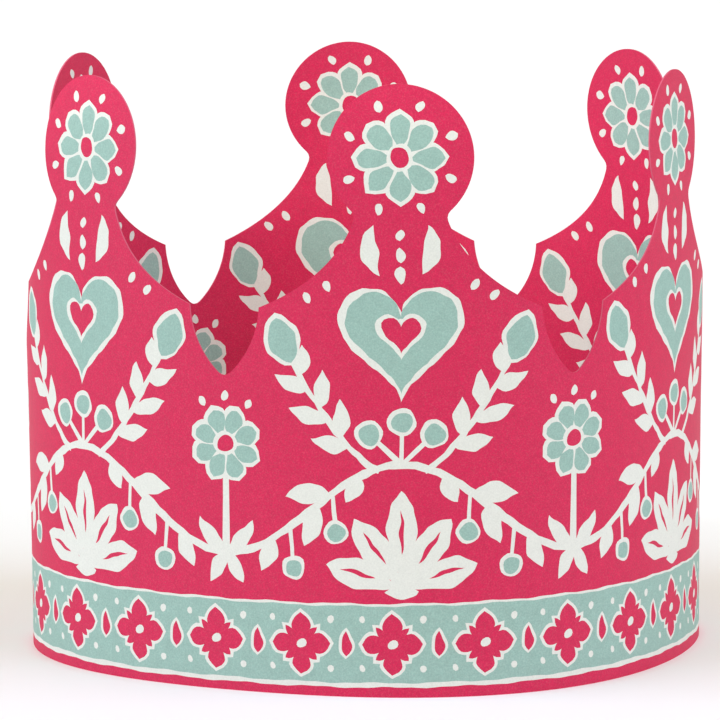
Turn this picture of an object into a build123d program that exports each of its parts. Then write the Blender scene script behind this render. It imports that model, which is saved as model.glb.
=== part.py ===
from build123d import *
from math import atan2, cos, degrees, pi, radians, sin, sqrt, tan
import os

# Paper crown: one cut sheet of printed card with six round-headed points, rolled into a ring.
# Its two ends slide into each other at a slit in each, and both end tabs lie inside the ring.
# Millimetres, +Z up. The origin is on the floor at the ring's centre, and one point faces -Y.

# Card and ring
card = 0.45                 # thickness of the card
inside_girth = 597.0        # inside girth of the closed ring, an adult's head size
points = 6                  # how many points stand on the ring
seam_flat = 10.4            # level stretch at the foot of the notch that holds the seam

# Outline of one point, in the flat sheet
point_rise = 59.8           # from the shoulder corners to the top of a head
head_radius = 19.3          # round head of a point
neck_half = 12.3            # half the width of the narrowest place under the head
neck_radius = 2.5           # small hollow curve between head and flank
neck_lean = 20.0            # degrees from upright at which the flank leaves the neck
flank_pull_neck = 12.0      # how far the flank keeps its direction below the neck
flank_pull_foot = 13.0      # how far the flank keeps its direction before the shoulder
shoulder_height = 104.2     # floor to the sharp corner where flank and notch meet
shoulder_fall = 22.0        # degrees below level at which the flank reaches the corner

# Notch between two points
notch_half = 10.4           # half the width of the notch at the shoulder corners
notch_depth = 18.6          # from the shoulder corners down to the lowest place
notch_side_radius = 26.0    # bulge of the notch's two sides
notch_root_radius = 2.6     # small curve at the lowest place

# Seam: each end is slit to half its height, one from above and one from the floor
slit_width = 2.0            # length of ring over which one end passes inside the other
slit_share = 0.5            # share of the seam's height that the slit from the floor takes
slit_gap = 0.3              # space between the ends of the two slits
tab_length = 18.0           # from the middle of the slit to the free end of a tab
tab_corner = 6.0            # rounded corners of a tab
tab_gap = 0.15              # space between a tab and the wall that it lies behind

# Rolling the flat sheet
reach = 2.0                 # how far a cutting block stands past the card on each side
curve_steps = 12            # stretches in which a curved edge is carried over to the ring

# Sizes that follow
tip_height = shoulder_height + point_rise
notch_floor = shoulder_height - notch_depth
ring_in = inside_girth / (2 * pi)
ring_out = ring_in + card
tab_out = ring_in - tab_gap
tab_in = tab_out - card
pitch = (2 * pi * ring_out - seam_flat) / points
seam_place = -1.5 * pitch - seam_flat / 2


def place(radius, angle):
    """Point at a distance and an angle in degrees from the origin of the flat sheet."""
    return Vector(radius * cos(radians(angle)), radius * sin(radians(angle)))


def turned(shape, length):
    """Turn a shape round the ring by a length along the outer face of the card."""
    return Rot(0, 0, degrees(length / ring_out)) * shape


def notch_side():
    """Left half of a point below its shoulder: half of the root curve and one bulging side."""
    root = Vector(-pitch / 2, notch_floor + notch_root_radius)
    corner = Vector(-pitch / 2 + notch_half, shoulder_height)
    inner = notch_side_radius - notch_root_radius
    chord = root - corner
    along = (notch_side_radius**2 - inner**2 + chord.length**2) / (2 * chord.length)
    across = sqrt(notch_side_radius**2 - along**2)
    unit = chord.normalized()
    middle = corner + unit * along + Vector(unit.Y, -unit.X) * across
    low = degrees(atan2(root.Y - middle.Y, root.X - middle.X))
    high = degrees(atan2(corner.Y - middle.Y, corner.X - middle.X))
    return [
        CenterArc(root, notch_root_radius, -90, low + 90),
        CenterArc(middle, notch_side_radius, low, high - low),
    ]


def flank_and_neck(head, hollow):
    """Left half of a point from its shoulder corner up to the round head."""
    into_head = degrees(atan2(head.Y - hollow.Y, head.X - hollow.X))
    start = Vector(-pitch / 2 + notch_half, shoulder_height)
    end = hollow + place(neck_radius, -neck_lean)
    pull_foot = place(flank_pull_foot, shoulder_fall)
    pull_neck = place(flank_pull_neck, 90 - neck_lean)
    return [
        Bezier(start, start + pull_foot, end - pull_neck, end),
        CenterArc(hollow, neck_radius, -neck_lean, into_head + neck_lean),
    ]


def point_outline():
    """Closed outline of the stretch of sheet that carries one point, from notch to notch."""
    head = Vector(0, tip_height - head_radius)
    hollow_x = neck_half + neck_radius
    hollow_drop = sqrt((head_radius + neck_radius) ** 2 - hollow_x**2)
    hollow = head - Vector(hollow_x, hollow_drop)
    left = notch_side() + flank_and_neck(head, hollow)
    right = [edge.mirror(Plane.YZ) for edge in left]
    under = degrees(atan2(hollow_drop, hollow_x))
    top = CenterArc(head, head_radius, -under, 180 + 2 * under)
    foot_left = Vector(-pitch / 2, 0)
    foot_right = Vector(pitch / 2, 0)
    sides = Polyline(
        Vector(-pitch / 2, notch_floor), foot_left, foot_right, Vector(pitch / 2, notch_floor)
    )
    return make_face(left + [top] + right + sides.edges())


def wall_outline(start, end):
    """Rectangle from the floor to the foot of the seam's notch."""
    return Pos((start + end) / 2, notch_floor / 2) * Rectangle(end - start, notch_floor)


def tab_outline():
    """End tab to the right of the seam, with rounded corners at its free end."""
    flat = wall_outline(slit_width / 2, tab_length)
    free_end = flat.vertices().group_by(Axis.X)[-1]
    return fillet(free_end, tab_corner)


def carried(edge, distance):
    """An edge of the flat sheet, as seen from the ring's axis on an upright plane before it."""
    steps = 1 if edge.geom_type == GeomType.LINE else curve_steps
    flat = [edge.position_at(i / steps) for i in range(steps + 1)]
    found = [Vector(distance * tan(p.X / ring_out), -distance, p.Y) for p in flat]
    return Line(*found) if steps == 1 else Spline(*found)


def rolled(outline, inner, outer):
    """Card of the given flat outline, bent to a radius, with its cut edges square to it."""
    edges = outline.face().outer_wire().edges()
    box = outline.bounding_box()
    half_angle = max(box.max.X, -box.min.X) / ring_out
    near_plane = inner * cos(half_angle) - reach
    near = make_face([carried(edge, near_plane) for edge in edges])
    far = make_face([carried(edge, outer + reach) for edge in edges])
    block = loft([near, far], ruled=True)
    height = tip_height + 2 * reach
    tube = Cylinder(outer, height) - Cylinder(inner, height)
    return block & Pos(0, 0, tip_height / 2) * tube


def bridge(way, low, high):
    """Stretch of card that steps from the ring's wall to the tab behind it, inside the slit."""
    half = way * slit_width / 2 / ring_out
    corners = [(ring_out, -half), (tab_out, half), (tab_in, half), (ring_in, -half)]
    plan = Polyline([(r * sin(a), -r * cos(a)) for r, a in corners], close=True)
    return Pos(0, 0, low) * extrude(make_face(plan), high - low)


def seam():
    """The two ends of the sheet, crossed at their slits, at -Y."""
    crossing = notch_floor * slit_share
    wall = rolled(wall_outline(slit_width / 2, seam_flat / 2), ring_in, ring_out)
    tab = rolled(tab_outline(), tab_in, tab_out)
    left_end = bridge(1, 0, crossing - slit_gap / 2) + tab
    right_end = bridge(-1, crossing + slit_gap / 2, notch_floor) + tab.mirror(Plane.YZ)
    return wall + wall.mirror(Plane.YZ) + left_end + right_end


def crown_band():
    """The whole crown, one sheet of card."""
    point = rolled(point_outline(), ring_in, ring_out)
    band = turned(seam(), seam_place)
    for number in range(points):
        band += turned(point, (number - 1) * pitch)
    return band


os.makedirs("parts", exist_ok=True)
export_step(crown_band(), "parts/crown_band.step")
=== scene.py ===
from cmath import phase, rect
from math import ceil, cos, degrees, hypot, log, pi, radians, sin, sqrt, tan

import bpy
from mathutils import Matrix, Vector
from mathutils.bvhtree import BVHTree
from mathutils.geometry import delaunay_2d_cdt


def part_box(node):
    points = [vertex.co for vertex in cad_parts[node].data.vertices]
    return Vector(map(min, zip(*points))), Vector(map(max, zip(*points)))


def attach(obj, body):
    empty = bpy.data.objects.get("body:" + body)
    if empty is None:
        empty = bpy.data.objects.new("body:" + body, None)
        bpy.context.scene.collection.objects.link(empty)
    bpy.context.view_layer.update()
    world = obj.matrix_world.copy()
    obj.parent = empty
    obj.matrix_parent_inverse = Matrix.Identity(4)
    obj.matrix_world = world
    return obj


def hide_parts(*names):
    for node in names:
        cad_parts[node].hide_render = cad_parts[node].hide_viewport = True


# Paper crown: the whole printed sheet, cut, printed on both faces and rolled into its ring.
# The sheet is drawn flat in millimetres and then bent. A point of the flat sheet is a complex
# number: its real part runs along the sheet from the middle of the front point, to the right
# as seen from outside, and its imaginary part is the height above the lower edge.

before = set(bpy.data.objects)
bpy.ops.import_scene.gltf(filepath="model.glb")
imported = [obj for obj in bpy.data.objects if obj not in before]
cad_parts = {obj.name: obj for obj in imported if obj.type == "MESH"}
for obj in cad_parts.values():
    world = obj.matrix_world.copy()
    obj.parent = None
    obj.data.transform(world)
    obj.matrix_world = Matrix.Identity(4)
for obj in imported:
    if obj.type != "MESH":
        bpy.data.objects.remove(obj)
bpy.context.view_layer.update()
lowest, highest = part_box("crown_band")

# The ring, from the frame
MM = 0.001
RING_OUT = (highest.x - lowest.x) / 2 / MM
TIP_HEIGHT = (highest.z - lowest.z) / MM

# The sheet, in millimetres
CARD = 0.45                 # thickness of the card
POINTS = 6                  # how many points stand on the ring
SEAM_FLAT = 10.4            # level stretch at the foot of the notch that holds the seam
POINT_RISE = 59.8           # from the shoulder corners to the top of a head
HEAD_RADIUS = 19.3
NECK_HALF = 12.3            # half the width of the neck under the head
NECK_RADIUS = 2.5           # small hollow between head and flank
NECK_LEAN = 20.0            # degrees from upright of the flank at the neck
FLANK_PULL_NECK = 12.0      # how far the flank's curve keeps its heading from the neck
FLANK_PULL_FOOT = 13.0      # and from the shoulder corner
SHOULDER_FALL = 22.0        # degrees from level of the flank at the shoulder corner
NOTCH_HALF = 10.4           # half the width of a notch between its shoulder corners
NOTCH_DEPTH = 18.6
NOTCH_SIDE_RADIUS = 26.0    # bulge of the sides of a notch
NOTCH_ROOT_RADIUS = 2.6
SLIT_WIDTH = 2.0
SLIT_SHARE = 0.5            # share of the height at the seam that each slit takes
SLIT_GAP = 0.3              # how far the ends of the two slits pass each other
TAB_LENGTH = 18.0           # from the seam to the end of the sheet
TAB_CORNER = 6.0
TAB_GAP = 0.15              # space between a tab and the ring that it lies in

# Sizes that follow
SHOULDER = TIP_HEIGHT - POINT_RISE
NOTCH_FLOOR = SHOULDER - NOTCH_DEPTH
HEAD_MIDDLE = TIP_HEIGHT - HEAD_RADIUS
PITCH = (2 * pi * RING_OUT - SEAM_FLAT) / POINTS
FIRST, LAST = -1, POINTS - 2    # numbers of the points at the sheet's two ends: the front one is 0
LEFT_SEAM = (FIRST - 0.5) * PITCH - SEAM_FLAT / 2
RIGHT_SEAM = (LAST + 0.5) * PITCH + SEAM_FLAT / 2

# How the soft card stands
RING_WAVES = ((2, 2.6, 39.6), (4, 2.3, 17.2))   # waves round the ring, height, angle of a crest
RING_DRAWN_IN = 0.29        # what the waves take from the mean radius
FLARE = 0.65                # how much further out it stands at the foot of its notches than below
FLARE_END = 1.2             # height up to which it widens, in heights of that foot
POINT_LEANS = (-4.4, -1.4, -0.6, -3.8, -2.8, -0.4)    # how far outwards each tip leans, from the first
POINT_TWISTS = (-1.0, 0.6, -0.6, -0.3, 1.5, 0.0)      # how far each head's right side turns out
FLATNESS = 0.5              # how far the heads have straightened out of the ring's curve
FREE_RISE = 25.0            # from the shoulder corners to where a point is fully straightened

# Heights of the print's stripes
HEM_TOP = 2.85              # crimson ends and a white line starts
BORDER_LOW = 4.1            # the line ends and the mint border starts
BORDER_HIGH = 24.9          # the border ends and a second white line starts
BORDER_TOP = 25.55          # the line ends and the crimson field starts
BORDER_FLOWERS = 24         # flowers of the border round the ring
BORDER_PITCH = 2 * pi * RING_OUT / BORDER_FLOWERS

# Heights of the print's motifs
FAN_FOOT = 29.3
GARLAND_MIDDLE = 50.5       # middle line of the running stem
GARLAND_SWING = 12.5        # how far it rises and falls from there
ROSETTE_MIDDLE = 67.6
HEART_MIDDLE = 98.2

# How the print is out of true
WOBBLE = 0.2                # how far the hand-cut edges of its shapes stray
SLIP = complex(0.15, -0.2)  # how far the mint lies out of register with its white
DRIFT = 0.45                # how far the whole print wanders up and down against the cut edges
DRIFT_LENGTH = 262.0        # length of sheet over which it wanders once
DRIFT_START = 8.0           # where it crosses its true height, rising to the right
MITRE = 1.5                 # how many times as far as an edge a sharp corner is moved at most

# Fineness of the mesh
OUTLINE_STEP = 1.1
PRINT_STEP = 0.8
STRIPE_STEP = 2.0
BEND_STEP = 3.3
HEIGHT_STEP = 9.0
CLOSE = 1e-4                # points that lie closer than this are one

CRIMSON, MINT, WHITE, EDGE = range(4)

# Blocks of the map that each ink is laid out on: left, low, width, height
MAP_BLOCKS = {
    CRIMSON: (0.00, 0.00, 0.61, 1.00),
    MINT: (0.63, 0.00, 0.37, 0.47),
    WHITE: (0.63, 0.49, 0.37, 0.47),
    EDGE: (0.63, 0.98, 0.37, 0.02),
}
MAP_MARGIN = 4.0            # room past a point's own stretch of sheet


def polar(radius, angle):
    return rect(radius, radians(angle))


def mirrored(path):
    """A path seen in the mirror of an upright line, still counterclockwise if it was."""
    return [-p.conjugate() for p in reversed(path)]


# Outline of the sheet

def arc(centre, radius, start, end):
    count = max(2, ceil(radius * radians(abs(end - start)) / OUTLINE_STEP))
    return [centre + polar(radius, start + (end - start) * i / count) for i in range(count + 1)]


def bezier(a, b, c, d):
    """Curve from a to d, leaving towards b and arriving from c."""
    count = ceil((abs(b - a) + abs(c - b) + abs(d - c)) / OUTLINE_STEP)
    found = []
    for i in range(count + 1):
        t = i / count
        s = 1 - t
        found.append(s**3 * a + 3 * s * s * t * b + 3 * s * t * t * c + t**3 * d)
    return found


def rising_half():
    """Left half of one point, from the foot of its notch up to the top of its head."""
    root = complex(-PITCH / 2, NOTCH_FLOOR + NOTCH_ROOT_RADIUS)
    corner = complex(-PITCH / 2 + NOTCH_HALF, SHOULDER)
    inner = NOTCH_SIDE_RADIUS - NOTCH_ROOT_RADIUS
    chord = abs(root - corner)
    along = (NOTCH_SIDE_RADIUS**2 - inner**2 + chord**2) / (2 * chord)
    across = sqrt(NOTCH_SIDE_RADIUS**2 - along**2)
    middle = corner + (root - corner) / chord * complex(along, -across)
    low = degrees(phase(root - middle))
    high = degrees(phase(corner - middle))
    head = complex(0, HEAD_MIDDLE)
    hollow_x = NECK_HALF + NECK_RADIUS
    hollow = head - complex(hollow_x, sqrt((HEAD_RADIUS + NECK_RADIUS) ** 2 - hollow_x**2))
    into_head = degrees(phase(head - hollow))
    neck = hollow + polar(NECK_RADIUS, -NECK_LEAN)
    flank = bezier(
        corner,
        corner + polar(FLANK_PULL_FOOT, SHOULDER_FALL),
        neck - polar(FLANK_PULL_NECK, 90 - NECK_LEAN),
        neck,
    )
    return (
        arc(root, NOTCH_ROOT_RADIUS, -90, low)
        + arc(middle, NOTCH_SIDE_RADIUS, low, high)[1:]
        + flank[1:]
        + arc(hollow, NECK_RADIUS, -NECK_LEAN, into_head)[1:]
        + arc(head, HEAD_RADIUS, 180 + into_head, 90)[1:]
    )


def sheet_outline():
    """The whole sheet, counterclockwise from the foot of the slit at its left end."""
    half = SLIT_WIDTH / 2
    reach = TAB_LENGTH - TAB_CORNER
    low = NOTCH_FLOOR * SLIT_SHARE - SLIT_GAP / 2
    high = low + SLIT_GAP
    rise = NOTCH_FLOOR - TAB_CORNER
    left, right = LEFT_SEAM, RIGHT_SEAM
    outline = [complex(left - half, 0), complex(left - half, high)]
    outline += [complex(left + half, high), complex(left + half, 0)]
    outline += arc(complex(right + reach, TAB_CORNER), TAB_CORNER, -90, 0)
    outline += arc(complex(right + reach, rise), TAB_CORNER, 0, 90)
    outline += [complex(right + half, NOTCH_FLOOR), complex(right + half, low)]
    outline += [complex(right - half, low), complex(right - half, NOTCH_FLOOR)]
    rising = rising_half()
    for number in range(LAST, FIRST - 1, -1):
        middle = number * PITCH
        outline += [middle - p.conjugate() for p in rising]
        outline += [middle + p for p in reversed(rising[:-1])]
    outline += arc(complex(left - reach, rise), TAB_CORNER, 90, 180)
    outline += arc(complex(left - reach, TAB_CORNER), TAB_CORNER, 180, 270)
    return without_repeats(outline)


def without_repeats(path):
    return [p for p, before in zip(path, [path[-1]] + path[:-1]) if abs(p - before) > CLOSE]


# Shapes of the print, each a counterclockwise outline

def by_hand(shape, turn=0.0):
    """A shape with the small unevenness of hand-cut edges, another one for each turn."""
    found = []
    for p in shape:
        x, z = p.real, p.imag
        dx = sin(0.55 * x + 0.92 * z + turn) + 0.4 * sin(1.5 * x - 1.1 * z + 2 * turn)
        dz = sin(0.83 * x - 0.61 * z + turn + 2) + 0.4 * sin(1.2 * x + 1.6 * z + turn)
        found.append(p + WOBBLE * complex(dx, dz))
    return found


def grown(shape, by):
    """A shape with its edge moved outwards."""
    found = []
    for before, p, after in zip([shape[-1]] + shape[:-1], shape, shape[1:] + shape[:1]):
        first = (p - before) / abs(p - before)
        second = (after - p) / abs(after - p)
        out = (first + second) * -1j
        found.append(p + out / abs(out) * by * min(2 / abs(out), MITRE))
    return found


def leaf(foot, angle, length, width, bend=0.0, belly=0.45, blunt=1.0):
    """Leaf or petal on a midline that turns by bend degrees from foot to tip.

    It is widest at belly, a share of its length, and the less blunt is, the rounder its ends are.
    """
    count = max(7, round(length / PRINT_STEP))
    warp = log(0.5) / log(belly)
    spine, point = [], foot
    for i in range(count + 1):
        heading = angle + bend * i / count
        spine.append((point, heading))
        point += polar(length / count, heading + bend / count / 2)
    right, left = [], []
    for i, (p, heading) in enumerate(spine):
        half = 0.5 * width * sin(pi * (i / count) ** warp) ** blunt
        right.append(p + polar(half, heading - 90))
        left.append(p + polar(half, heading + 90))
    return right + left[-2:0:-1]


def disc(centre, radius):
    count = max(8, round(2 * pi * radius / PRINT_STEP))
    return [centre + polar(radius, 360 * i / count) for i in range(count)]


def seed(centre, angle, length, width):
    """Small oval with blunt tips."""
    return leaf(centre - polar(length / 2, angle), angle, length, width, 0, 0.5, 0.6)


def stem(path, foot_width, tip_width):
    """Band along a path, which tapers evenly."""
    right, left = [], []
    last = len(path) - 1
    for i, p in enumerate(path):
        heading = path[min(i + 1, last)] - path[max(i - 1, 0)]
        half = 0.5 * (foot_width + (tip_width - foot_width) * i / last)
        out = heading / abs(heading) * half * -1j
        right.append(p + out)
        left.append(p - out)
    return right + left[::-1]


def heart(centre, width):
    """Heart on its point, by the usual formula, which is 32 wide."""
    count = round(2.6 * width / PRINT_STEP)
    found = []
    for i in range(count):
        t = -2 * pi * (i + 0.5) / count
        x = 16 * sin(t) ** 3
        z = 13 * cos(t) - 5 * cos(2 * t) - 2 * cos(3 * t) - cos(4 * t)
        found.append(centre + complex(x, z) * width / 32)
    return found


class Print:
    """The marks of the print, in painting order."""

    def __init__(self):
        self.marks = []

    def paint(self, colour, shape, turn=0.0):
        self.marks.append((colour, by_hand(shape, turn)))

    def both(self, colour, shape, turn=0.0):
        """A shape and its mirror image."""
        self.paint(colour, shape, turn)
        self.paint(colour, mirrored(shape), turn + 1)

    def framed(self, shapes, edge=1.1):
        """Mint shapes with a white line round each, a little out of register."""
        for number, shape in enumerate(shapes):
            self.paint(WHITE, grown(shape, edge), 0.7 + number)
        for number, shape in enumerate(shapes):
            self.paint(MINT, [p + SLIP for p in shape], number)

    def flower(self, centre, petals, reach, width, eye, turn=0.0):
        """Mint petals of a given reach and width round a crimson eye of a given radius."""
        angles = [turn + 360 * k / petals for k in range(petals)]
        self.framed([
            leaf(centre + polar(eye, a), a, reach - eye, width, 0, 0.6, 0.6) for a in angles
        ])
        self.paint(WHITE, disc(centre, eye + 1.0), 1)
        self.paint(CRIMSON, disc(centre, eye), 2)


def garland(x):
    """Height of the running stem."""
    return GARLAND_MIDDLE + GARLAND_SWING * cos(2 * pi * x / PITCH)


def garland_heading(x):
    """Heading of the running stem, in degrees."""
    return degrees(phase(complex(1, garland(x + 0.5) - garland(x - 0.5))))


def head_marks(ink):
    """Flower in the head, in a ring of seeds, and seeds down the neck."""
    middle = complex(0, HEAD_MIDDLE)
    petals = 8
    ink.flower(middle, petals, 11.6, 5.5, 2.6)
    for k in range(petals):
        angle = 360 * (k + 0.5) / petals
        ink.paint(WHITE, seed(middle + polar(14.6, angle), angle, 3.2, 2.2), k)
    for z, size in ((113.5, 4.6), (119.0, 4.0), (124.2, 3.4)):
        ink.paint(WHITE, seed(complex(0, z), 90, size, 0.65 * size), z)
    ink.both(WHITE, leaf(complex(5.6, 113.5), 52, 14, 4.8, 62, 0.5), 1)


def heart_marks(ink):
    """Heart over three berries, with seeds at its shoulders."""
    middle = complex(0, HEART_MIDDLE)
    ink.paint(WHITE, heart(middle - 0.4j, 33.6), 1)
    ink.paint(MINT, heart(middle + SLIP, 30), 3)
    ink.paint(WHITE, heart(middle, 13.6), 4)
    ink.paint(WHITE, disc(middle + 2.4j, 1.5), 4)
    ink.paint(CRIMSON, heart(middle + 0.2j, 10.4), 2)
    for x, z in ((19.6, 110.6), (25.0, 107.6)):
        ink.both(WHITE, seed(complex(x, z), 62, 3.2, 2.2), x)
    for angle, reach in ((90, 11.5), (43, 12.0), (137, 12.0)):
        foot = complex(0, garland(0))
        top = foot + polar(reach, angle)
        ink.paint(WHITE, stem([foot, (foot + top) / 2, top], 1.4, 1.2), angle)
        ink.framed([disc(top, 2.8)], 1.0)


def spray_marks(ink):
    """Spray that rises from the running stem and round the heart."""
    path = [complex(6 + 27 * t, 61.4 + 35 * t**1.4) for t in [i / 24 for i in range(25)]]
    ink.both(WHITE, stem(path, 1.9, 1.2), 4)
    for i, side, length in (
        (7, -1, 11), (9, 1, 10.5), (12, -1, 11.5), (14, 1, 10.5), (17, -1, 10), (19, 1, 8.5),
    ):
        heading = degrees(phase(path[i + 1] - path[i]))
        ink.both(WHITE, leaf(path[i], heading + 44 * side, length, 4.6, -14 * side), i)
    bud = leaf(path[-4], 62, 12.5, 8.0, 14, 0.5, 0.7)
    ink.framed([bud, mirrored(bud)])


def garland_marks(ink):
    """Running stem with its leaves and hanging berries."""
    path = [complex(x, garland(x)) for x in [PITCH * (i / 50 - 0.52) for i in range(53)]]
    ink.paint(WHITE, stem(path, 2.0, 2.0), 3)
    for x, side, length, width in (
        (11, -1, 8.5, 4.6), (19, 1, 13, 5.8), (23, -1, 11.5, 5.6), (35, -1, 10, 5.0),
    ):
        foot = complex(x, garland(x))
        heading = garland_heading(x) + 42 * side
        ink.both(WHITE, leaf(foot, heading, length, width, -18 * side), x)
    for x, drop in ((18.5, 10.5), (30.5, 11.0)):
        foot, end = complex(x, garland(x)), complex(x - 0.8, garland(x) - drop)
        ink.both(WHITE, stem([foot, (foot + end) / 2, end], 1.1, 1.1), x)
        for berry in (end, -end.conjugate()):
            ink.framed([disc(berry, 2.4)], 0.9)


def rosette_marks(ink):
    """Rosette under a notch, standing in the trough of the running stem."""
    middle = complex(0, ROSETTE_MIDDLE)
    foot = complex(0, garland(PITCH / 2))
    ink.paint(WHITE, stem([foot, (foot + middle) / 2, middle], 2.0, 1.6), 2)
    for side in (-1, 1):
        ink.paint(WHITE, leaf(foot, 90 - 58 * side, 12.5, 4.6, 34 * side), side)
        ink.paint(WHITE, leaf(foot, -90 + 36 * side, 9.5, 4.2, -10 * side), side)
    ink.flower(middle, 8, 9.8, 5.0, 2.4, 22.5)
    for angle in (58, 90, 122):
        ink.paint(WHITE, seed(middle + polar(13.0, angle), angle, 3.0, 2.2), angle)


def fan_marks(ink):
    """Fan of ribbed leaves above the border."""
    foot = complex(0, FAN_FOOT)
    for angle, length in ((90, 26.5), (122, 23), (58, 23), (157, 21.5), (23, 21.5)):
        bend = (angle - 90) * 0.16
        rib_foot = foot + polar(0.36 * length, angle)
        rib = leaf(rib_foot, angle + 0.36 * bend, 0.46 * length, 1.2, 0.5 * bend)
        ink.paint(WHITE, leaf(foot, angle, length, 8.2, bend, 0.62, 0.85), angle)
        ink.paint(CRIMSON, rib, angle)
    ink.paint(WHITE, disc(foot + 2j, 3.0))
    ink.paint(WHITE, seed(foot - 0.7j, 0, 9, 3.4))


def border_marks(ink):
    """One star flower of the border, with the seed and the dots beside it."""
    middle = complex(0, (BORDER_LOW + BORDER_HIGH) / 2)
    between = middle + BORDER_PITCH / 2
    for edge, colour in ((0.85, WHITE), (0.0, CRIMSON)):
        for angle in range(0, 360, 90):
            for petal in (
                leaf(middle, angle, 8.2, 5.3, 0, 0.62, 0.75),
                leaf(middle, angle + 45, 6.2, 2.3, 0, 0.6, 0.8),
            ):
                ink.paint(colour, grown(petal, edge) if edge else petal, angle)
        ink.paint(colour, disc(middle, 2.7 + edge))
        low = between - (3.4 + edge) * 1j
        ink.paint(colour, leaf(low, 90, 6.8 + 2 * edge, 3.0 + 2 * edge, 0, 0.5, 0.9), 1)
    ink.paint(WHITE, disc(middle, 1.4))
    for x, rise in ((-8.3, -6.6), (8.3, -6.6), (-8.3, 6.6), (8.3, 6.6)):
        ink.paint(WHITE, disc(middle + complex(x, rise), 0.95), rise)


def repeat(*motifs):
    """The marks of some motifs, drawn round the origin of the flat sheet."""
    ink = Print()
    for motif in motifs:
        motif(ink)
    return ink.marks


def stripe(low, high):
    """Stripe along the whole sheet and a little past its ends, with slightly uneven edges."""
    past = TAB_LENGTH + 5
    start, end = LEFT_SEAM - past, RIGHT_SEAM + past
    count = ceil((end - start) / STRIPE_STEP)
    along = [start + (end - start) * i / count for i in range(count + 1)]
    return [complex(x, uneven(x, low)) for x in along] + [
        complex(x, uneven(x, high)) for x in reversed(along)
    ]


def uneven(x, z):
    """Height of a stripe's hand-cut edge that is drawn at a height z."""
    return z + 0.16 * sin(0.31 * x + z) + 0.1 * sin(0.83 * x + 2 * z)


def drifted(p):
    """Where a point of the print comes to lie, because the sheet isn't cut quite true to it."""
    return p + DRIFT * sin(2 * pi * (p.real - DRIFT_START) / DRIFT_LENGTH) * 1j


def all_marks():
    """Marks of the whole sheet. Those at its two ends meet where the ring is closed."""
    point = repeat(head_marks, garland_marks, spray_marks, heart_marks, fan_marks)
    notch = repeat(rosette_marks)
    border = repeat(border_marks)
    placed = []
    for number in range(FIRST - 1, LAST + 2):
        past_seam = (number > LAST) - (number < FIRST)
        placed.append((number * PITCH + past_seam * SEAM_FLAT, point))
    notches = [(number + 0.5) * PITCH for number in range(FIRST, LAST)]
    placed += [(x, notch) for x in [LEFT_SEAM] + notches + [RIGHT_SEAM]]
    placed += [(LEFT_SEAM + k * BORDER_PITCH, border) for k in range(-1, BORDER_FLOWERS + 2)]
    marks = [
        (WHITE, stripe(HEM_TOP, BORDER_TOP)),
        (MINT, stripe(BORDER_LOW, BORDER_HIGH)),
    ]
    marks += [(colour, [p + x for p in shape]) for x, motif in placed for colour, shape in motif]
    start, end = LEFT_SEAM - TAB_LENGTH, RIGHT_SEAM + TAB_LENGTH
    return [
        (colour, [drifted(p) for p in shape])
        for colour, shape in marks
        if max(p.real for p in shape) > start and min(p.real for p in shape) < end
    ]


# The mesh

def bend_lines():
    """Upright and level lines that split the flat sheet finely enough to be bent."""
    half = SLIT_WIDTH / 2
    start, end = LEFT_SEAM - TAB_LENGTH, RIGHT_SEAM + TAB_LENGTH
    count = ceil((end - start) / BEND_STEP)
    upright = [start + (end - start) * i / count for i in range(1, count)]
    for seam in (LEFT_SEAM, RIGHT_SEAM):
        fold = [seam - half, seam - half / 3, seam + half / 3, seam + half]
        upright = [x for x in upright if min(abs(x - f) for f in fold) > BEND_STEP / 3] + fold
    level = [HEIGHT_STEP * i for i in range(1, ceil(TIP_HEIGHT / HEIGHT_STEP))]
    lines = [(complex(x, -1), complex(x, TIP_HEIGHT + 1)) for x in upright]
    return lines + [(complex(start - 1, z), complex(end + 1, z)) for z in level]


def split(places, lines, outlines):
    """Points, triangles split along lines and outlines, and the outlines that each lies within.

    With outlines the triangles are those within them. With lines alone they fill the plane as
    far as its outermost points.
    """
    flat = [Vector((p.real, p.imag)) for p in places]
    within_outlines = 1 if outlines else 0
    found = delaunay_2d_cdt(flat, lines, outlines, within_outlines, CLOSE, True)
    return [v.to_3d() for v in found[0]], found[2], found[5]


def printed_areas():
    """The flat sheet in triangles of one colour each, split along every outline of the print."""
    shapes = [(CRIMSON, sheet_outline())] + all_marks()
    places, outlines = [], []
    for colour, shape in shapes:
        outlines.append(list(range(len(places), len(places) + len(shape))))
        places += shape
    points, triangles, origins = split(places, [], outlines)
    kept, colours = [], []
    for corners, within in zip(triangles, origins):
        if 0 in within:
            kept.append(tuple(corners))
            colours.append(shapes[max(within)][0])
    return points, kept, colours


def colour_edges(triangles, colours):
    """Edges at which a colour ends."""
    beside = {}
    for corners, colour in zip(triangles, colours):
        for i in range(3):
            beside.setdefault(frozenset((corners[i - 1], corners[i])), []).append(colour)
    return [tuple(edge) for edge, inks in beside.items() if len(inks) == 1 or inks[0] != inks[1]]


def flat_sheet():
    """The points, triangles and colours of the flat sheet, split along its bends too."""
    points, triangles, colours = printed_areas()
    lines = colour_edges(triangles, colours)
    used = sorted({i for line in lines for i in line})
    place = {old: new for new, old in enumerate(used)}
    places = [complex(*points[i].xy) for i in used]
    lines = [(place[a], place[b]) for a, b in lines]
    for ends in bend_lines():
        lines.append((len(places), len(places) + 1))
        places += ends
    finer_points, finer_triangles = split(places, lines, [])[:2]
    tree = BVHTree.FromPolygons(points, triangles)
    up = Vector((0, 0, 1))
    kept, inks = [], []
    for corners in finer_triangles:
        middle = sum((finer_points[i] for i in corners), Vector()) / 3
        under = tree.ray_cast(middle + up, -up)[2]
        if under is not None:
            kept.append(tuple(corners))
            inks.append(colours[under])
    return [complex(*v.xy) for v in finer_points], kept, inks


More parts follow.
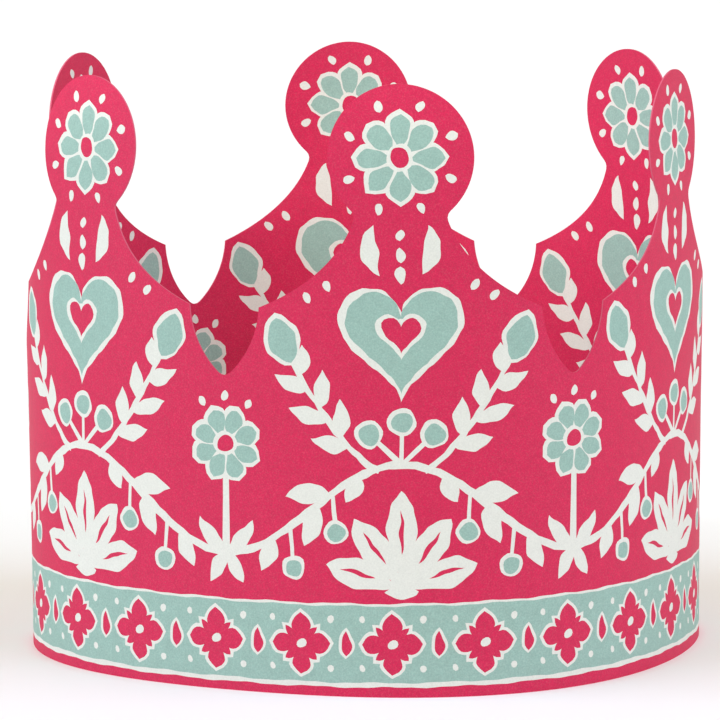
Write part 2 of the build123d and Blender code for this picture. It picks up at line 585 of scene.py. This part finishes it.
def ring_radius(angle):
    """Outer radius of the soft ring at its foot: true in girth, a little out of round."""
    out_of_round = sum(
        height * cos(waves * (angle - radians(crest))) for waves, height, crest in RING_WAVES
    )
    return RING_OUT - RING_DRAWN_IN + out_of_round


def angles_along():
    """Angle round the ring of each whole millimetre along the sheet, from the front point."""
    found = {0: 0.0}
    for way in (1, -1):
        angle = 0.0
        for step in range(1, ceil(RIGHT_SEAM + TAB_LENGTH) + 3):
            before, after = ring_radius(angle), ring_radius(angle + way / RING_OUT)
            angle += way / hypot((before + after) / 2, (after - before) * RING_OUT)
            found[way * step] = angle
    return found


ANGLES = angles_along()


def angle_at(x):
    """Angle round the ring of a place along the sheet."""
    step = int(x // 1)
    return ANGLES[step] + (ANGLES[step + 1] - ANGLES[step]) * (x - step)


def lean(p):
    """How far outwards the soft card stands at a point of the sheet."""
    number = round(p.real / PITCH)
    which = (number - FIRST) % POINTS
    aside = p.real - number * PITCH
    outwards = FLARE * min(p.imag / NOTCH_FLOOR, FLARE_END) ** 2
    rise = (p.imag - NOTCH_FLOOR) / (TIP_HEIGHT - NOTCH_FLOOR)
    if rise > 0:
        free = min(max((p.imag - SHOULDER) / FREE_RISE, 0), 1)
        turned = POINT_TWISTS[which] * aside / HEAD_RADIUS + FLATNESS * aside**2 / (2 * RING_OUT)
        outwards += POINT_LEANS[which] * rise**1.5 + turned * free**2 * (3 - 2 * free)
    return outwards


def bent(p, depth):
    """Place on the ring, in metres, of a point at a depth under the sheet's outer face.

    At the seam the sheet steps inwards over the width of its slit, so its tabs lie in the ring.
    """
    past_slit = max(p.real - RIGHT_SEAM, LEFT_SEAM - p.real) + SLIT_WIDTH / 2
    step = (CARD + TAB_GAP) * min(max(past_slit / SLIT_WIDTH, 0), 1)
    angle = angle_at(p.real)
    radius = ring_radius(angle) + lean(p) - step - depth
    return Vector((radius * sin(angle), -radius * cos(angle), p.imag)) * MM


def facing(p):
    """The direction that the sheet's outer face looks in."""
    reach = 0.4
    along = bent(p + reach, 0) - bent(p - reach, 0)
    up = bent(p + reach * 1j, 0) - bent(p - reach * 1j, 0)
    return along.cross(up).normalized()


def without_strays(points, triangles):
    """Only the points that triangles use, and the triangles numbered to fit."""
    used = sorted({i for t in triangles for i in t})
    place = {old: new for new, old in enumerate(used)}
    return [points[i] for i in used], [tuple(place[i] for i in t) for t in triangles]


def rim_edges(triangles):
    """Directed edges that belong to one triangle only."""
    seen = {(t[i - 1], t[i]) for t in triangles for i in range(3)}
    return sorted(edge for edge in seen if (edge[1], edge[0]) not in seen)


def shell_normals(points, outer, inner, rim):
    """Normals at the corners of the shell: smooth on its two faces, flat on its cut edge."""
    outward = [facing(p) for p in points]
    found = [outward[i] for t in outer for i in t]
    found += [-outward[i] for t in inner for i in t]
    for polygon in rim:
        found += [polygon.normal.copy()] * 4
    return found


def print_on_map(points, corners, colour):
    """Place of each corner of a triangle on its ink's block of the map, which the six points share."""
    left, low, width, height = MAP_BLOCKS[colour]
    start = PITCH * round(sum(points[i].real for i in corners) / 3 / PITCH)
    found = []
    for i in corners:
        along = (points[i].real - start) / (PITCH + 2 * MAP_MARGIN) + 0.5
        rise = (points[i].imag + MAP_MARGIN) / (TIP_HEIGHT + 2 * MAP_MARGIN)
        found += [left + width * along, low + height * rise]
    return found


def edge_on_map():
    """Place of each corner of a face of the cut edge on the edge's block of the map."""
    left, low, width, height = MAP_BLOCKS[EDGE]
    right, top = left + width, low + height
    return [left, low, right, low, right, top, left, top]


def crown_mesh():
    """The ring as one closed shell: the sheet's two printed faces and the cut edge between them."""
    points, outer, colours = flat_sheet()
    points, outer = without_strays(points, outer)
    inner = [tuple(reversed(t)) for t in outer]
    rims = rim_edges(outer)
    count = len(points)
    faces = outer + [tuple(i + count for i in t) for t in inner]
    faces += [(b, a, a + count, b + count) for a, b in rims]
    mesh = bpy.data.meshes.new("crown")
    mesh.from_pydata([bent(p, 0) for p in points] + [bent(p, CARD) for p in points], [], faces)
    mesh.polygons.foreach_set("material_index", colours + colours + [EDGE] * len(rims))
    mesh.polygons.foreach_set("use_smooth", [True] * len(faces))
    rim = mesh.polygons[2 * len(outer):]
    mesh.normals_split_custom_set(shell_normals(points, outer, inner, rim))
    on_map = []
    for corners, colour in zip(outer + inner, colours + colours):
        on_map += print_on_map(points, corners, colour)
    on_map += edge_on_map() * len(rims)
    mesh.uv_layers.new(name="OFBake").uv.foreach_set("vector", on_map)
    mesh.update()
    return mesh


# Materials

def srgb(red, green, blue):
    """Linear colour of a display colour from 0 to 255."""
    def linear(c):
        c /= 255
        return c / 12.92 if c <= 0.04045 else ((c + 0.055) / 1.055) ** 2.4
    return linear(red), linear(green), linear(blue)


CARD_COLOUR = srgb(217, 218, 208)
CARD_GLOSS = 0.43           # specular level of the matt card, where 0.5 is usual
TOOTH_SIZE = 0.42           # the fine tooth of the paper, in millimetres like the next three
TOOTH_DEPTH = 0.03
FLECK_SIZE = 0.36           # flecks of bare card in the ink
CLOUD_SIZE = 2.6            # soft clouds of lighter and darker ink
TOOTH_STRENGTH = 0.25       # share of its depth at which the tooth catches the light
ROUGHNESS_SWING = 0.08      # how much rougher or smoother the tooth makes the card


def ink_on_card(name, colour, grain, flecks, clouds, roughness):
    """Matt printed card with the fine tooth of its paper, which shows through the ink."""
    material = bpy.data.materials.new(name)
    material.use_nodes = True
    nodes, links = material.node_tree.nodes, material.node_tree.links
    shader = nodes["Principled BSDF"]
    shader.inputs["Specular IOR Level"].default_value = CARD_GLOSS
    where = nodes.new("ShaderNodeTexCoord").outputs["Object"]

    def noise(size, detail):
        node = nodes.new("ShaderNodeTexNoise")
        node.inputs["Scale"].default_value = 1 / (size * MM)
        node.inputs["Detail"].default_value = detail
        links.new(where, node.inputs["Vector"])
        return node.outputs["Fac"]

    def spread(height, low, high, start, end):
        """A noise height from low to high as a value from start to end."""
        node = nodes.new("ShaderNodeMapRange")
        for socket, value in zip(("From Min", "From Max", "To Min", "To Max"), (low, high, start, end)):
            node.inputs[socket].default_value = value
        links.new(height, node.inputs["Value"])
        return node.outputs["Result"]

    def shade(under, height, amount):
        """under, made up to amount lighter or darker by a noise height."""
        times = nodes.new("ShaderNodeVectorMath")
        times.operation = "SCALE"
        links.new(under, times.inputs[0])
        links.new(spread(height, 0.25, 0.75, 1 - amount, 1 + amount), times.inputs["Scale"])
        return times.outputs["Vector"]

    tooth = noise(TOOTH_SIZE, 2)
    flecked = nodes.new("ShaderNodeMix")
    flecked.data_type = "RGBA"
    flecked.inputs["A"].default_value = (*colour, 1)
    flecked.inputs["B"].default_value = (*CARD_COLOUR, 1)
    links.new(spread(noise(FLECK_SIZE, 1), 0.45, 0.75, 0, flecks), flecked.inputs["Factor"])
    tinted = shade(flecked.outputs["Result"], tooth, grain)
    tinted = shade(tinted, noise(CLOUD_SIZE, 3), clouds)
    links.new(tinted, shader.inputs["Base Color"])
    roughnesses = spread(tooth, 0, 1, roughness - ROUGHNESS_SWING, roughness + ROUGHNESS_SWING)
    links.new(roughnesses, shader.inputs["Roughness"])
    bump = nodes.new("ShaderNodeBump")
    bump.inputs["Strength"].default_value = TOOTH_STRENGTH
    bump.inputs["Distance"].default_value = TOOTH_DEPTH * MM
    links.new(tooth, bump.inputs["Height"])
    links.new(bump.outputs["Normal"], shader.inputs["Normal"])
    return material


# The crown, with its inks in the order of their numbers

mesh = crown_mesh()
for ink in (
    ink_on_card("crimson_ink", srgb(200, 9, 71), 0.145, 0.042, 0.05, 0.62),
    ink_on_card("mint_ink", srgb(143, 176, 164), 0.135, 0.09, 0.05, 0.66),
    ink_on_card("bare_card", CARD_COLOUR, 0.065, 0.0, 0.02, 0.8),
    ink_on_card("cut_edge", srgb(206, 92, 116), 0.05, 0.0, 0.04, 0.85),
):
    mesh.materials.append(ink)
crown = bpy.data.objects.new("crown", mesh)
bpy.context.scene.collection.objects.link(crown)
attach(crown, "root")
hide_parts("crown_band")

# Floor, in metres

FAR = 12.0                  # from the middle to each side
floor_mesh = bpy.data.meshes.new("floor")
floor_corners = [(-FAR, -FAR, 0), (FAR, -FAR, 0), (FAR, FAR, 0), (-FAR, FAR, 0)]
floor_mesh.from_pydata(floor_corners, [], [(0, 1, 2, 3)])
floor_material = bpy.data.materials.new("floor")
floor_material.use_nodes = True
floor_shader = floor_material.node_tree.nodes["Principled BSDF"]
floor_shader.inputs["Base Color"].default_value = (0.95, 0.95, 0.95, 1)
floor_shader.inputs["Roughness"].default_value = 0.9
floor_mesh.materials.append(floor_material)
floor = bpy.data.objects.new("floor", floor_mesh)
bpy.context.scene.collection.objects.link(floor)

# Camera, in metres and degrees

CAMERA_AWAY = 1.360         # from the ring's axis
CAMERA_HEIGHT = 0.250
CAMERA_AZIMUTH = -5.58      # to the right of the front
CAMERA_DOWN = 7.171         # below level
CAMERA_ROLL = -0.367
CAMERA_LENS = 240.7         # in millimetres
CAMERA_SENSOR = 36          # width of the sensor, in millimetres
CAMERA_SHIFT = -0.0075      # in widths of the picture

camera_data = bpy.data.cameras.new("camera")
camera_data.lens = CAMERA_LENS
camera_data.sensor_width = CAMERA_SENSOR
camera_data.shift_x = CAMERA_SHIFT
camera_data.clip_end = 100
camera = bpy.data.objects.new("camera", camera_data)
azimuth = radians(CAMERA_AZIMUTH)
camera.location = (CAMERA_AWAY * sin(azimuth), -CAMERA_AWAY * cos(azimuth), CAMERA_HEIGHT)
turn = Matrix.Rotation(azimuth, 4, "Z") @ Matrix.Rotation(radians(90 - CAMERA_DOWN), 4, "X")
camera.rotation_euler = (turn @ Matrix.Rotation(radians(CAMERA_ROLL), 4, "Z")).to_euler()
bpy.context.scene.collection.objects.link(camera)
bpy.context.scene.camera = camera


# Light: a warm room, a cool soft window at each side and a small lamp on the far points

def add_light(name, kind, place, aim, colour, strength):
    light = bpy.data.lights.new(name, kind)
    light.color = colour
    light.energy = strength
    stand = bpy.data.objects.new(name, light)
    stand.location = place
    stand.rotation_euler = (Vector(aim) - Vector(place)).to_track_quat("-Z", "Y").to_euler()
    bpy.context.scene.collection.objects.link(stand)
    return light


def window(name, way, height, colour, strength):
    """Soft daylight from way degrees to the right of the front and height degrees above level."""
    place = (sin(radians(way)), -cos(radians(way)), tan(radians(height)))
    add_light(name, "SUN", place, (0, 0, 0), colour, pi * strength).angle = radians(60)


world = bpy.data.worlds.new("world")
world.use_nodes = True
room = world.node_tree.nodes["Background"]
room.inputs["Color"].default_value = (1.0, 0.93, 0.645, 1)
room.inputs["Strength"].default_value = 0.69
bpy.context.scene.world = world
bpy.context.scene.view_settings.view_transform = "Standard"
window("window_left", -76, 28, (0.62, 0.72, 1.0), 0.72)
window("window_right", 60, 32, (0.60, 0.68, 1.0), 0.61)
lamp = add_light("lamp", "AREA", (-0.22, -0.32, 0.38), (0.045, 0.085, 0.113), (1, 0.97, 0.94), 0.03)
lamp.shape = "RECTANGLE"
lamp.size = 0.18
lamp.size_y = 0.03
lamp.spread = radians(20)
